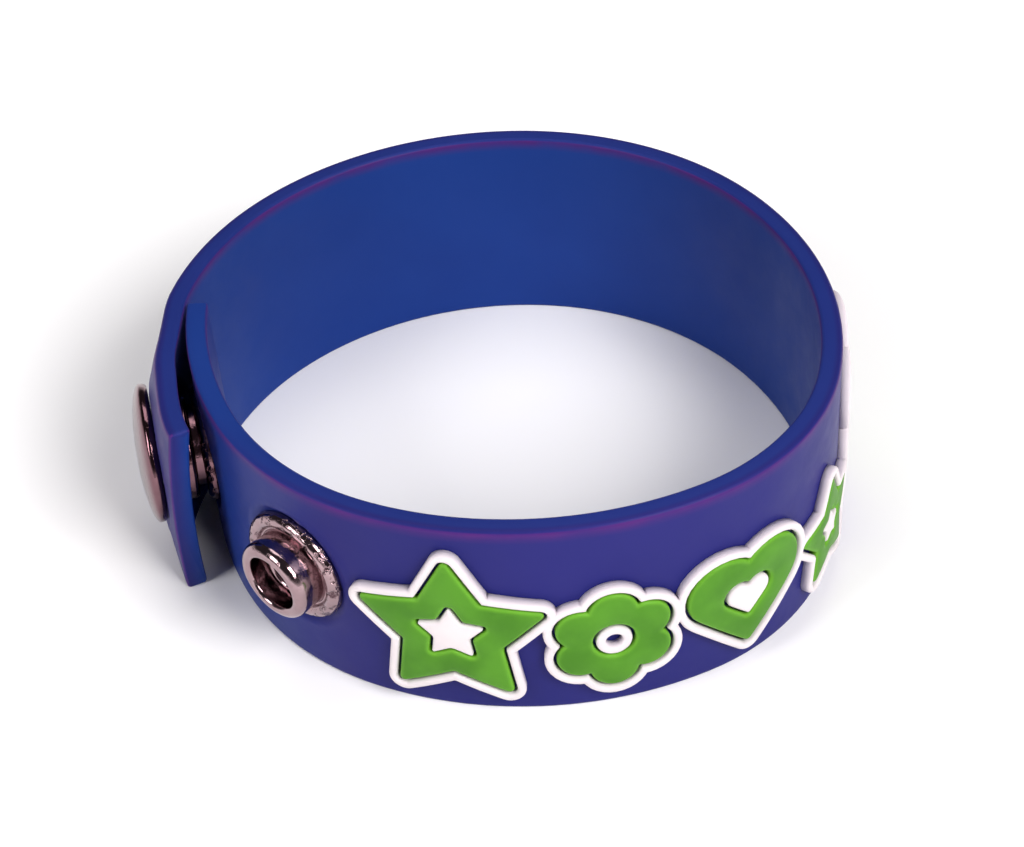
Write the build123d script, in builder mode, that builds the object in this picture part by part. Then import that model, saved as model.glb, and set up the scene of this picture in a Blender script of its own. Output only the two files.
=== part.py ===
from build123d import *
import os
from math import asin, atan, cos, degrees, hypot, pi, radians, sin

# Soft PVC snap bracelet, closed, standing on its lower edge.
#
# The strap is one flat band bent round into a loop. Its outer end, the flap, laps over its inner end and
# is held there by a ring snap. A second stud stands free for the smaller size. Raised plates with raised
# motifs run round the front of the loop. Millimetres, +Z up, origin on the floor under the middle.

# Strap
STRAP_WIDTH = 20.0
STRAP_THICK = 1.8
EDGE_ROUND = 0.35
LOOP_RADIUS = 27.4
INNER_TIP_ANGLE = 170.3
INNER_TIP_SHARE = 0.978
INNER_TIP_HEADING = 268.4

# Stretches of the loop from the inner tip round to the start of the flap.
# Columns: stretch, turn in degrees, bend radius as a share of LOOP_RADIUS
BENDS = (
    ("inner end", 25, 1.33),
    ("free stud", 40, 0.91),
    ("front", 50, 1.15),
    ("front right", 50, 0.74),
    ("right", 50, 1.12),
    ("back right", 50, 1.01),
    ("back left", 50, 1.05),
)

# Stations on the strap, measured along it from the inner tip
SNAP_STATION = 7.9
FREE_STUD_STATION = 25.7
FLAP_PAST_SNAP = 7.0
# How far the snaps sit above the band's middle
SNAP_RISE = 0.7
SNAP_HEIGHT = STRAP_WIDTH / 2 + SNAP_RISE
# How far the flap's top corner runs past its bottom corner
END_SLANT = 3.0
# Degrees by which the flap's heading at the snap falls short of the inner end's
SNAP_SPLAY = 0.0

# Clear gap between the two layers at the inner tip, the snap and the flap's end
TIP_GAP = 0.3
SNAP_GAP = 2.85
END_GAP = 2.8

# The flap's edges curl in towards the wrist. Columns: place, curl of top edge, curl of bottom edge
CURLS = (
    ("start", 0.0, 0.0),
    ("inner tip", 0.1, 0.05),
    ("snap", 1.3, 0.4),
    ("end", 0.7, 0.2),
)
FLAP_STEPS = 5

# Ring snap
CAP_DIA = 12.2
CAP_HEIGHT = 1.3
CAP_RIM = 0.35
CAP_CLEARANCE = 0.05
FLANGE_DIA = 10.2
FLANGE_THICK = 0.35
FLANGE_SINK = 0.45
# How far above its floor a seat is cut free, on the band's hollow side and on its round side
HOLLOW_SEAT_CUT = 2.2
ROUND_SEAT_CUT = 0.8
STUD_HEIGHT = 3.1
STUD_RING_DIA = 7.2
STUD_RING_ROUND = 0.75
STUD_HOLE_DIA = 4.2
BARREL_DIA = 4.0
BARREL_WALL = 0.4
POST_FLANGE_DIA = 8.4
SOCKET_BORE_DIA = 7.7
SOCKET_WALL = 0.65
SOCKET_HEIGHT = 2.2
FIT_CLEARANCE = 0.1

# Relief
RELIEF_START = 31.4
RELIEF_HEIGHT = 0.9
RELIEF_CLEARANCE = 0.05
RELIEF_REACH = 2.5
BASELINE = 1.8
BORDER = 0.95
GROOVE = 0.25
ISLAND_WALL = 0.8
TALL = 15.0
SHORT = 10.2
GROUP_SPACE = 1.2
STAR_POINTS = 5
STAR_WAIST = 0.52
POINT_ROUND = 0.4
PETALS = 6
PETAL_SHARE = 0.2
# Columns: border plate, kind of motif, height, size of its opening as a share of the height,
# how far it tucks in towards the motif before it
MOTIFS = (
    ("first", "star", TALL, 0.42, 0.0),
    ("first", "flower", SHORT, 0.17, 1.6),
    ("first", "heart", SHORT, 0.42, 0.9),
    ("first", "star", SHORT, 0.40, 1.5),
    ("second", "flower", TALL, 0.19, 0.0),
    ("second", "heart", SHORT, 0.42, 0.9),
    ("second", "star", SHORT, 0.40, 1.5),
    ("second", "flower", SHORT, 0.17, 1.6),
)


def heading(angle):
    """Unit direction in the floor plane."""
    return Vector(cos(radians(angle)), sin(radians(angle)), 0)


def polar(radius, angle):
    """Point on the floor at a radius and an angle in degrees about the loop's centre."""
    return heading(angle) * radius


def outward(direction):
    """Outward normal of the band where it runs in the given direction."""
    return Vector(direction.Y, -direction.X, 0)


def section_plane(point, direction):
    """Plane across the band: x outward, y up."""
    middle = Vector(point.X, point.Y, STRAP_WIDTH / 2)
    return Plane(origin=middle, x_dir=outward(direction), z_dir=direction * -1)


def face_plane(point, direction, lift, height):
    """Plane on the band seen from outside: x along the strap, y up, lifted from its middle layer."""
    n = outward(direction)
    return Plane(origin=point + n * lift + Vector(0, 0, height), x_dir=direction, z_dir=n)


def snap_axis(seat):
    """Axis of a snap, pointing out, square to the band where it leans back by an angle."""
    point, direction, lean = seat
    n = outward(direction) * cos(radians(lean)) + Vector(0, 0, sin(radians(lean)))
    return Axis(point + Vector(0, 0, SNAP_HEIGHT), n)


def axial_plane(seat, lift, inward=False):
    """Plane through a snap's axis: x along the strap, y along the axis, out or in."""
    axis = snap_axis(seat)
    n = axis.direction
    across = seat[1].cross(n)
    return Plane(origin=axis.position + n * lift, x_dir=seat[1], z_dir=across * (-1 if inward else 1))


# Middle line of the loop, from the inner tip to the start of the flap
with BuildLine() as loop_line:
    bend_start = polar(LOOP_RADIUS * INNER_TIP_SHARE, INNER_TIP_ANGLE)
    bend_heading = heading(INNER_TIP_HEADING)
    for stretch, turn, share in BENDS:
        bend = JernArc(start=bend_start, tangent=bend_heading, radius=LOOP_RADIUS * share, arc_size=turn)
        bend_start = bend @ 1
        bend_heading = bend % 1
loop_path = loop_line.wire()


def on_loop(station):
    """Point and direction of the loop's middle line at a distance from the inner tip."""
    share = station / loop_path.length
    return loop_path @ share, loop_path % share


def over_loop(station, gap):
    """Point of the flap's middle line over a station of the inner end, and the direction there."""
    point, direction = on_loop(station)
    return point + outward(direction) * (STRAP_THICK + gap), direction


# Middle line of the flap, over the inner end
over_tip = over_loop(0, TIP_GAP)[0]
over_snap, inner_heading = over_loop(SNAP_STATION, SNAP_GAP)
flap_end = over_loop(SNAP_STATION + FLAP_PAST_SNAP, END_GAP)[0]
snap_heading = inner_heading.rotate(Axis.Z, -SNAP_SPLAY)
with BuildLine() as flap_line:
    rise = TangentArc(loop_path @ 1, over_tip, tangent=loop_path % 1)
    approach = Spline(over_tip, over_snap, tangents=(rise % 1, snap_heading))
    run_out = TangentArc(over_snap, flap_end, tangent=snap_heading)


def eased(first, last, share):
    """Value that leaves the first and meets the last with no corner."""
    return first + (last - first) * share * share * (3 - 2 * share)


def slanted(plane, slant):
    """Section plane tipped about its outward axis, so that its top leads its bottom."""
    tip = degrees(atan(slant / STRAP_WIDTH))
    across = Axis(plane.origin, plane.x_dir)
    return Plane(origin=plane.origin, x_dir=plane.x_dir, z_dir=plane.z_dir.rotate(across, -tip))


def flap_section(plane, curl_top, curl_bottom, slant):
    """Section across the flap, its edges curled in towards the wrist."""
    half = hypot(STRAP_WIDTH, slant) / 2
    outer = STRAP_THICK / 2
    inner = -outer
    with BuildSketch(slanted(plane, slant)) as section:
        with BuildLine():
            for side in (outer, inner):
                ends = ((side - curl_bottom, -half), (side - curl_top, half))
                if curl_top + curl_bottom > 0:
                    ThreePointArc(ends[0], (side, 0), ends[1])
                else:
                    Line(*ends)
            Line((outer - curl_top, half), (inner - curl_top, half))
            Line((outer - curl_bottom, -half), (inner - curl_bottom, -half))
        make_face()
        by_height = section.vertices().sort_by(Axis.Y)
        fillet(by_height[:2] + by_height[-2:], EDGE_ROUND)
    return section.sketch


# Sections along the flap, with the curl eased from each place to the next, and slanted past the snap
flap_sections = []
for run, here, there in zip((rise, approach, run_out), CURLS, CURLS[1:]):
    for step in range(FLAP_STEPS + (run is run_out)):
        share = step / FLAP_STEPS
        plane = section_plane(run @ share, run % share)
        curl_top = eased(here[1], there[1], share)
        curl_bottom = eased(here[2], there[2], share)
        slant = END_SLANT * share if run is run_out else 0
        flap_sections.append(flap_section(plane, curl_top, curl_bottom, slant))

# Where each snap piece sits: a point of the band's middle line, the band's direction there and its lean
curls = {place: ends for place, *ends in CURLS}
snap_curl_top, snap_curl_bottom = curls["snap"]
inner_seat = (*on_loop(SNAP_STATION), 0)
free_seat = (*on_loop(FREE_STUD_STATION), 0)
flap_seat = (over_snap, snap_heading, degrees(atan((snap_curl_top - snap_curl_bottom) / STRAP_WIDTH)))
SEAT = STRAP_THICK / 2 - FLANGE_SINK
CAP_SEAT = STRAP_THICK / 2 + CAP_CLEARANCE


def seat_cut(seat, lift, diameter, inward=False):
    """Shallow round seat that a flange is pressed into, cut from its floor outward or inward."""
    radius = diameter / 2
    with BuildPart() as cut:
        with BuildSketch(axial_plane(seat, lift, inward)):
            Rectangle(radius, HOLLOW_SEAT_CUT if inward else ROUND_SEAT_CUT, align=(Align.MIN, Align.MIN))
        revolve(axis=snap_axis(seat))
    return cut.part


def barrel_cut(seat):
    """Round hole through one layer of the band for a snap's barrel."""
    axis = snap_axis(seat)
    with BuildPart() as cut:
        with BuildSketch(Plane(origin=axis.position, z_dir=axis.direction)):
            Circle(BARREL_DIA / 2 + FIT_CLEARANCE)
        extrude(amount=STRAP_THICK, both=True)
    return cut.part


# Strap
with BuildPart() as strap:
    with BuildSketch(section_plane(*on_loop(0))):
        RectangleRounded(STRAP_THICK, STRAP_WIDTH, EDGE_ROUND)
    sweep(path=loop_path)
    loft(sections=flap_sections, ruled=True)
    for seat in (inner_seat, free_seat):
        add(barrel_cut(seat), mode=Mode.SUBTRACT)
        add(seat_cut(seat, SEAT, FLANGE_DIA + 2 * FIT_CLEARANCE), mode=Mode.SUBTRACT)
        add(seat_cut(seat, -SEAT, POST_FLANGE_DIA + 2 * FIT_CLEARANCE, True), mode=Mode.SUBTRACT)
    add(barrel_cut(flap_seat), mode=Mode.SUBTRACT)
    add(seat_cut(flap_seat, -SEAT, FLANGE_DIA + 2 * FIT_CLEARANCE, True), mode=Mode.SUBTRACT)


def stud(seat):
    """Stud of the ring snap: a flange pressed into the band and a round-lipped ring on a neck."""
    hole = STUD_HOLE_DIA / 2
    lip = STUD_RING_DIA / 2 - STUD_RING_ROUND
    neck = STUD_HEIGHT - STUD_RING_ROUND / 2
    with BuildPart() as body:
        with BuildSketch(axial_plane(seat, SEAT)):
            with Locations(((hole + FLANGE_DIA / 2) / 2, FLANGE_THICK / 2)):
                Rectangle(FLANGE_DIA / 2 - hole, FLANGE_THICK)
            with Locations((FLANGE_DIA / 2 - FLANGE_THICK, FLANGE_THICK)):
                Circle(FLANGE_THICK)
            with Locations(((hole + lip) / 2, neck / 2)):
                Rectangle(lip - hole, neck)
            with Locations((lip, STUD_HEIGHT - STUD_RING_ROUND)):
                Circle(STUD_RING_ROUND)
        revolve(axis=snap_axis(seat))
    return body.part


def post(seat):
    """Eyelet post of a stud: a domed ring flange inside the band and a tube up through it."""
    tube = BARREL_DIA / 2
    bore = tube - BARREL_WALL
    reach = STUD_HEIGHT - STUD_RING_ROUND + 2 * SEAT
    flange = POST_FLANGE_DIA / 2
    with BuildPart() as body:
        with BuildSketch(axial_plane(seat, -SEAT)):
            with Locations(((bore + tube) / 2, reach / 2 - FLANGE_THICK / 2)):
                Rectangle(BARREL_WALL, reach + FLANGE_THICK)
            with Locations(((bore + flange) / 2, -FLANGE_THICK / 2)):
                Rectangle(flange - bore, FLANGE_THICK)
            with Locations((flange - FLANGE_THICK, -FLANGE_THICK)):
                Circle(FLANGE_THICK)
        revolve(axis=snap_axis(seat))
    return body.part


# Studs and their posts
snap_pieces = {}
for name, seat in (("fastened", inner_seat), ("free", free_seat)):
    snap_pieces["snap_stud_" + name] = stud(seat)
    snap_pieces["snap_post_" + name] = post(seat)

# Socket, inside the flap, open towards the stud
with BuildPart() as snap_socket:
    with BuildSketch(axial_plane(flap_seat, -SEAT, inward=True)):
        hole = BARREL_DIA / 2 + FIT_CLEARANCE
        bore = SOCKET_BORE_DIA / 2
        with Locations(((hole + FLANGE_DIA / 2) / 2, FLANGE_THICK / 2)):
            Rectangle(FLANGE_DIA / 2 - hole, FLANGE_THICK)
        with Locations((bore + SOCKET_WALL / 2, SOCKET_HEIGHT / 2 - SOCKET_WALL / 4)):
            Rectangle(SOCKET_WALL, SOCKET_HEIGHT - SOCKET_WALL / 2)
        with Locations((bore + SOCKET_WALL / 2, SOCKET_HEIGHT - SOCKET_WALL / 2)):
            Circle(SOCKET_WALL / 2)
    revolve(axis=snap_axis(flap_seat))
snap_pieces["snap_socket"] = snap_socket.part

# Cap, on the outside of the flap, with its barrel through the flap into the socket's floor
rise_of_dome = CAP_HEIGHT - CAP_RIM
dome_radius = ((CAP_DIA / 2) ** 2 + rise_of_dome**2) / (2 * rise_of_dome)
dome_turn = degrees(asin(CAP_DIA / 2 / dome_radius))
with BuildPart() as snap_cap:
    with BuildSketch(axial_plane(flap_seat, CAP_SEAT)):
        with BuildLine():
            dome = CenterArc((0, CAP_HEIGHT - dome_radius), dome_radius, 90, -dome_turn)
            Polyline(dome @ 1, (CAP_DIA / 2, 0), (0, 0), dome @ 0)
        make_face()
        Rectangle(BARREL_DIA / 2, CAP_SEAT + SEAT + FLANGE_THICK, align=(Align.MIN, Align.MAX))
    revolve(axis=snap_axis(flap_seat))
snap_pieces["snap_cap"] = snap_cap.part


def star(height):
    """Fat star with soft points, about its own centre."""
    step = pi / STAR_POINTS
    outer = height / (1 + cos(step))
    radii = (outer, outer * STAR_WAIST)
    points = []
    for k in range(2 * STAR_POINTS):
        angle = pi / 2 + k * step
        points.append((radii[k % 2] * cos(angle), radii[k % 2] * sin(angle)))
    with BuildSketch() as shape:
        with BuildLine():
            Polyline(*points, close=True)
        make_face()
        fillet(shape.vertices(), POINT_ROUND)
    return shape.sketch


def flower(height):
    """Round petals about a round middle."""
    petal = height * PETAL_SHARE
    ring = height / 2 - petal
    with BuildSketch() as shape:
        Circle(ring)
        with PolarLocations(ring, PETALS, start_angle=180 / PETALS):
            Circle(petal)
    return shape.sketch


def disc(radius):
    """Round opening."""
    with BuildSketch() as shape:
        Circle(radius)
    return shape.sketch


def heart(height):
    """Square on its corner with a half disc on each upper side."""
    side = height / (0.5 + 3 * 0.5**0.5 / 2)
    lobe = side / 8**0.5
    with BuildSketch() as shape:
        with Locations((0, lobe * 2 - height / 2)):
            Rectangle(side, side, rotation=45)
        with Locations((-lobe, lobe * 3 - height / 2), (lobe, lobe * 3 - height / 2)):
            Circle(side / 2)
        fillet(shape.vertices().sort_by(Axis.Y)[0], POINT_ROUND)
    return shape.sketch


OUTLINES = {"star": star, "flower": flower, "heart": heart}
OPENINGS = {"star": star, "flower": disc, "heart": heart}


def grown(outline, amount):
    """Outline moved out, or in if the amount is negative, with round corners."""
    with BuildSketch() as shape:
        add(outline)
        offset(amount=amount)
    return shape.sketch


# Layer round the outside of the band that all the relief is cut from
with BuildPart() as relief_layer:
    with BuildSketch(section_plane(*on_loop(0))):
        with Locations((STRAP_THICK / 2 + RELIEF_CLEARANCE + RELIEF_HEIGHT / 2, 0)):
            Rectangle(RELIEF_HEIGHT, STRAP_WIDTH)
    sweep(path=loop_path)


def raised(plane, outline, opening=None):
    """Outline cut out of the relief layer, seen square on from outside."""
    with BuildPart() as piece:
        with BuildSketch(plane):
            add(outline)
            if opening:
                add(opening, mode=Mode.SUBTRACT)
        extrude(amount=RELIEF_REACH, both=True)
        add(relief_layer.part, mode=Mode.INTERSECT)
    return piece.part


# Motifs, their islands, and the white plates with a groove round every motif
relief_pieces = {}
plates = {}
grooves = {}
station = RELIEF_START
last_group = MOTIFS[0][0]
for number, (group, kind, height, opening_share, tuck) in enumerate(MOTIFS, start=1):
    outline = OUTLINES[kind](height)
    opening = OPENINGS[kind](height * opening_share)
    box = outline.bounding_box()
    half_width = box.size.X / 2 + BORDER
    if group != last_group:
        station += GROUP_SPACE
    last_group = group
    middle = on_loop(station + half_width - tuck)
    station += 2 * half_width - tuck
    plane = face_plane(*middle, STRAP_THICK / 2, BASELINE + BORDER - box.min.Y)
    relief_pieces[f"motif_{kind}_{number}"] = raised(plane, outline, opening)
    plates.setdefault(group, []).append(raised(plane, grown(outline, BORDER)))
    grooves.setdefault(group, []).append(raised(plane, grown(outline, GROOVE)))
    ground = disc(height * opening_share - GROOVE - ISLAND_WALL) if kind == "flower" else None
    relief_pieces[f"island_{kind}_{number}"] = raised(plane, grown(opening, -GROOVE), ground)
for group in plates:
    with BuildPart() as plate:
        add(plates[group])
        add(grooves[group], mode=Mode.SUBTRACT)
    relief_pieces["relief_border_" + group] = plate.part

# All pieces, moved so that the middle of the whole stands over the origin
pieces = {"strap": strap.part, **snap_pieces, **relief_pieces}
middle = Compound(list(pieces.values())).bounding_box().center()
to_origin = Location((-middle.X, -middle.Y, 0))
print("loop centre", -middle.X, -middle.Y)

os.makedirs("parts", exist_ok=True)
for name, piece in pieces.items():
    placed = piece.moved(to_origin)
    placed.label = name
    export_step(placed, "parts/" + name + ".step")
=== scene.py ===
from math import atan2, cos, degrees, hypot, pi, radians, sin, sqrt, tan

import bmesh
import bpy
import numpy as np
from mathutils import Matrix, Vector
from mathutils.geometry import delaunay_2d_cdt


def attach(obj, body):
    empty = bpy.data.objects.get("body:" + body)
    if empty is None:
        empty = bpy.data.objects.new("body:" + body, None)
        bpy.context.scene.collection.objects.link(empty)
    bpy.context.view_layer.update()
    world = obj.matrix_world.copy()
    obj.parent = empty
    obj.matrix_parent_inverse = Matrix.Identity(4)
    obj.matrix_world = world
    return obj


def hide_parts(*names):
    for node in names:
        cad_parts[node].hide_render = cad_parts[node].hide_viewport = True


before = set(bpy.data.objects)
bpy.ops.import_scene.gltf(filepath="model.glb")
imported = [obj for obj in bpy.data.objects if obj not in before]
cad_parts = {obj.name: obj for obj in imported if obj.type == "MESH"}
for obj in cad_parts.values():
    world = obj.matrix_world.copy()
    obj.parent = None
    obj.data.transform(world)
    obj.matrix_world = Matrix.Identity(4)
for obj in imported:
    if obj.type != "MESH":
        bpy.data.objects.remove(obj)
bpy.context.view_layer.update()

# Shapes below are worked out in millimetres and scaled once, when a mesh is made
MM = 0.001

# Strap, with the sizes of the frame
STRAP_WIDTH = 20.0
STRAP_THICK = 1.8
EDGE_ROUND = 0.35
LOOP_RADIUS = 27.4
LOOP_CENTRE = (1.75693, 0.06966)
INNER_TIP_ANGLE = 170.3
INNER_TIP_SHARE = 0.978
INNER_TIP_HEADING = 268.4
# Columns: stretch, turn in degrees, bend radius as a share of LOOP_RADIUS
BENDS = (
    ("inner end", 25, 1.33),
    ("free stud", 40, 0.91),
    ("front", 50, 1.15),
    ("front right", 50, 0.74),
    ("right", 50, 1.12),
    ("back right", 50, 1.01),
    ("back left", 50, 1.05),
)
SNAP_STATION = 7.9
FREE_STUD_STATION = 25.7
FLAP_PAST_SNAP = 7.0
SNAP_RISE = 0.7
SNAP_HEIGHT = STRAP_WIDTH / 2 + SNAP_RISE
END_SLANT = 3.0
TIP_GAP = 0.3
SNAP_GAP = 2.85
END_GAP = 2.8
# Columns: place, curl of top edge, curl of bottom edge
CURLS = (
    ("start", 0.0, 0.0),
    ("inner tip", 0.1, 0.05),
    ("snap", 1.3, 0.4),
    ("end", 0.7, 0.2),
)

# Ring snap
CAP_DIA = 12.2
CAP_HEIGHT = 1.3
CAP_SINK = 0.45
FLANGE_DIA = 10.2
FLANGE_SINK = 0.45
STUD_HEIGHT = 3.1
STUD_RING_DIA = 7.2
LIP_RISE = 0.15
POST_FLANGE_DIA = 8.4
BARREL_DIA = 4.0
SEAT = STRAP_THICK / 2 - FLANGE_SINK
CAP_ROOM = 0.05
CAP_SEAT = STRAP_THICK / 2 + CAP_ROOM

# Relief
RELIEF_START = 31.4
RELIEF_HEIGHT = 0.9
RELIEF_LIFT = 0.03
BASELINE = 1.8
BORDER = 0.95
GROOVE = 0.25
ISLAND_WALL = 0.8
TALL = 15.0
SHORT = 10.2
GROUP_SPACE = 1.2
STAR_POINTS = 5
STAR_WAIST = 0.52
POINT_ROUND = 0.4
PETALS = 6
PETAL_SHARE = 0.2
# Columns: border plate, kind of motif, height, opening's share of the height, tuck towards the last motif
MOTIFS = (
    ("first", "star", TALL, 0.42, 0.0),
    ("first", "flower", SHORT, 0.17, 1.6),
    ("first", "heart", SHORT, 0.42, 0.9),
    ("first", "star", SHORT, 0.40, 1.5),
    ("second", "flower", TALL, 0.19, 0.0),
    ("second", "heart", SHORT, 0.42, 0.9),
    ("second", "star", SHORT, 0.40, 1.5),
    ("second", "flower", SHORT, 0.17, 1.6),
)


# The band's middle line

def unit(angle):
    """Unit vector at an angle in degrees."""
    return np.array((cos(radians(angle)), sin(radians(angle))))


def outward(direction):
    """Outward normal of the band for unit directions in the last axis."""
    return np.stack((direction[..., 1], -direction[..., 0]), axis=-1)


STEP = 0.05


def arc_points(start, angle, radius, turn):
    """Points and headings along a left-turning arc, about STEP apart."""
    count = max(2, int(abs(radius * radians(turn)) / STEP))
    angles = angle + np.linspace(0, turn, count + 1)
    centre = start + radius * np.array((-sin(radians(angle)), cos(radians(angle))))
    a = np.radians(angles)
    return np.stack((centre[0] + radius * np.sin(a), centre[1] - radius * np.cos(a)), axis=-1), angles


def arc_to(start, angle, end):
    """The same along the arc that leaves at an angle and ends at a point."""
    chord = end - start
    half = (degrees(atan2(chord[1], chord[0])) - angle + 180) % 360 - 180
    radius = hypot(*chord) / (2 * sin(radians(half)))
    return arc_points(start, angle, radius, 2 * half)


def bow_to(start, angle, end, end_angle):
    """Points and headings along a cubic from one point and heading to another."""
    length = hypot(*(end - start))
    t = np.linspace(0, 1, int(length / STEP) + 1)[:, None]
    a, b = unit(angle) * length, unit(end_angle) * length
    points = (2 * t**3 - 3 * t**2 + 1) * start + (t**3 - 2 * t**2 + t) * a
    points += (3 * t**2 - 2 * t**3) * end + (t**3 - t**2) * b
    slope = (6 * t**2 - 6 * t) * (start - end) + (3 * t**2 - 4 * t + 1) * a + (3 * t**2 - 2 * t) * b
    return points, np.degrees(np.unwrap(np.arctan2(slope[:, 1], slope[:, 0])))


class Line:
    """Line in the floor plane that is read by its length."""

    def __init__(self):
        self.points = None

    def extend(self, points, angles):
        angles = np.asarray(angles, float)
        if self.points is None:
            self.points, self.angles = points, angles
        else:
            shift = round((self.angles[-1] - angles[0]) / 360) * 360
            self.points = np.vstack((self.points, points[1:]))
            self.angles = np.concatenate((self.angles, angles[1:] + shift))
        steps = np.hypot(*np.diff(self.points, axis=0).T)
        self.stations = np.concatenate(((0,), np.cumsum(steps)))
        self.length = self.stations[-1]

    def at(self, station):
        """Points and unit directions at stations."""
        x = np.interp(station, self.stations, self.points[:, 0])
        y = np.interp(station, self.stations, self.points[:, 1])
        a = np.radians(np.interp(station, self.stations, self.angles))
        return np.stack((x, y), axis=-1), np.stack((np.cos(a), np.sin(a)), axis=-1)

    def heading(self, station):
        return float(np.interp(station, self.stations, self.angles))


band = Line()
here = np.array(LOOP_CENTRE) + unit(INNER_TIP_ANGLE) * LOOP_RADIUS * INNER_TIP_SHARE
way = INNER_TIP_HEADING
for _, turn, share in BENDS:
    band.extend(*arc_points(here, way, LOOP_RADIUS * share, turn))
    here = band.points[-1]
    way += turn
LOOP_LENGTH = band.length


def over_loop(station, gap):
    """Point of the flap's middle line over a station of the inner end."""
    point, direction = band.at(station)
    return point + outward(direction) * (STRAP_THICK + gap)


over_tip = over_loop(0, TIP_GAP)
over_snap = over_loop(SNAP_STATION, SNAP_GAP)
flap_end = over_loop(SNAP_STATION + FLAP_PAST_SNAP, END_GAP)
snap_heading = band.heading(SNAP_STATION)
band.extend(*arc_to(here, band.angles[-1], over_tip))
OVER_TIP = band.length
band.extend(*bow_to(over_tip, band.angles[-1], over_snap, snap_heading + 360))
OVER_SNAP = band.length
band.extend(*arc_to(over_snap, band.angles[-1], flap_end))
BAND_LENGTH = band.length


def eased(t):
    return t * t * (3 - 2 * t)


def curls(station):
    """Curl of the top and the bottom edge at stations."""
    places = (LOOP_LENGTH, OVER_TIP, OVER_SNAP, BAND_LENGTH)
    top, bottom = np.zeros_like(station), np.zeros_like(station)
    for k in range(len(places) - 1):
        t = eased(np.clip((station - places[k]) / (places[k + 1] - places[k]), 0, 1))
        inside = (station >= places[k]) & (station <= places[k + 1] + STEP)
        top = np.where(inside, CURLS[k][1] + (CURLS[k + 1][1] - CURLS[k][1]) * t, top)
        bottom = np.where(inside, CURLS[k][2] + (CURLS[k + 1][2] - CURLS[k][2]) * t, bottom)
    return top, bottom


# Further lean of the flap's very top edge towards the band, as it is pulled in beside the snap
PINCH_START = OVER_TIP - 1.5
PINCH_FULL = OVER_TIP + 5.0
PINCH_DEPTH = 0.65
PINCH_AT_END = 0.15
PINCH_POWER = 4


def pinch(station):
    """How far the very top edge leans in at stations."""
    rise = eased(np.clip((station - PINCH_START) / (PINCH_FULL - PINCH_START), 0, 1))
    fall = eased(np.clip((BAND_LENGTH - station) / (BAND_LENGTH - PINCH_FULL), 0, 1))
    return PINCH_DEPTH * rise * (PINCH_AT_END + (1 - PINCH_AT_END) * fall)


def on_band(station, lift, height):
    """Points at stations, lifts from the middle layer and heights, with the flap's curl and slant."""
    station, lift, height = np.broadcast_arrays(station, lift, height)
    point, direction = band.at(station)
    top, bottom = curls(station)
    t = height / (STRAP_WIDTH / 2) - 1
    curl = t * t * (top + bottom) / 2 + t * (top - bottom) / 2
    curl = curl + pinch(station) * np.clip(t, 0, 1) ** PINCH_POWER
    past = np.clip((station - OVER_SNAP) / (BAND_LENGTH - OVER_SNAP), 0, 1)
    lead = END_SLANT * past * t / 2
    flat = point + outward(direction) * (lift - curl)[..., None] + direction * lead[..., None]
    return np.concatenate((flat, height[..., None]), axis=-1)


class Seat:
    """A snap's seat on the band: a point of the middle line, the axis outward and the way along."""

    def __init__(self, point, angle, lean=0.0):
        along = unit(angle)
        out = outward(along)
        self.point = np.array((*point, SNAP_HEIGHT))
        self.along = np.array((*along, 0))
        self.axis = np.array((*(out * cos(lean)), sin(lean)))
        self.up = np.cross(self.axis, self.along)

    def local(self, points):
        """Along, up and outward coordinates of points."""
        d = points - self.point
        return d @ self.along, d @ self.up, d @ self.axis


SEATS = {
    "fastened": Seat(band.at(SNAP_STATION)[0], band.heading(SNAP_STATION)),
    "free": Seat(band.at(FREE_STUD_STATION)[0], band.heading(FREE_STUD_STATION)),
    "flap": Seat(over_snap, snap_heading, atan2(CURLS[2][1] - CURLS[2][2], STRAP_WIDTH)),
}


# Meshes

def new_object(name, verts, faces, material=None):
    """Smooth mesh object from points in millimetres."""
    mesh = bpy.data.meshes.new(name)
    mesh.from_pydata([tuple(p) for p in np.asarray(verts) * MM], [], faces)
    mesh.validate()
    mesh.update()
    piece = bpy.data.objects.new(name, mesh)
    bpy.context.scene.collection.objects.link(piece)
    if material:
        mesh.materials.append(material)
    for polygon in mesh.polygons:
        polygon.use_smooth = True
    return piece


WELD_REACH = 0.000002


def mend(piece, weld=False):
    """Drops loose points and turns the faces outward, and joins points that coincide where asked."""
    bm = bmesh.new()
    bm.from_mesh(piece.data)
    if weld:
        bmesh.ops.remove_doubles(bm, verts=bm.verts, dist=WELD_REACH)
    bmesh.ops.delete(bm, geom=[v for v in bm.verts if not v.link_faces], context="VERTS")
    bmesh.ops.recalc_face_normals(bm, faces=bm.faces)
    bm.to_mesh(piece.data)
    bm.free()


def dress(piece, slot, *nodes):
    """Puts a piece in the place of its nodes."""
    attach(piece, "root")
    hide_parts(*nodes)


# Materials

def srgb(r, g, b):
    """Linear colour of an 8-bit one."""
    channels = [c / 255 for c in (r, g, b)]
    return tuple(c / 12.92 if c <= 0.04045 else ((c + 0.055) / 1.055) ** 2.4 for c in channels) + (1.0,)


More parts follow.
